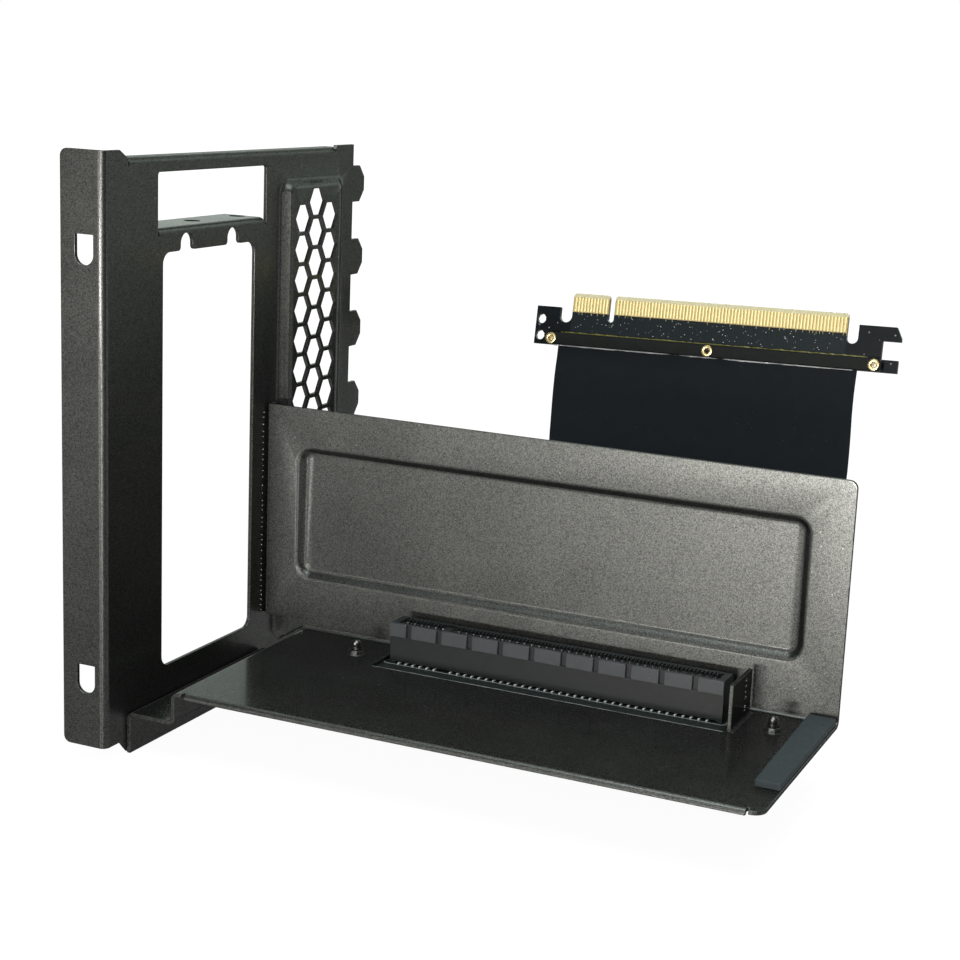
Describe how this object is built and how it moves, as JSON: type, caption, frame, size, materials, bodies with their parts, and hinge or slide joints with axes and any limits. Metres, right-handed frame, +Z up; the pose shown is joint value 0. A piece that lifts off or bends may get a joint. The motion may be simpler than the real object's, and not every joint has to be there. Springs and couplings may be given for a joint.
{
  "type": "vertical graphics card mount",
  "caption": "Folded steel bracket and tray that hold a graphics card upright across a case's expansion slots, with a card slot joined by a flat ribbon cable to an edge plug.",
  "frame": {"origin": "midway between the two flange slots, on the rear face of the flange, which meets the case", "axes": "+X along the tray away from the bracket, +Y into the case, +Z up"},
  "size_m": [0.1712, 0.1808, 0.1441],
  "materials": {
    "powder_coat": "satin charcoal powder coat with fine grain",
    "foam": "matt foam",
    "slot_plastic": "satin moulded plastic",
    "contact_metal": "tinned contact",
    "board": "satin coated circuit board",
    "screw_steel": "plated steel",
    "clamp": "satin coated bar",
    "eyelet": "plated eyelet",
    "ribbon": "matt cable jacket",
    "finger_gold": "gold plate"
  },
  "bodies": {
    "root": {"rear_bracket": "powder_coat", "card_tray": "powder_coat", "foam_strip": "foam", "slot_housing": "slot_plastic", "slot_contacts": "contact_metal", "slot_board": "board", "slot_screws": "screw_steel", "slot_clamp_bar": "clamp", "slot_eyelets": "eyelet", "ribbon_cable": "ribbon", "plug_board": "board", "edge_fingers": "finger_gold", "plug_clamp_bar": "clamp", "plug_eyelets": "eyelet"}
  },
  "joints": []
}
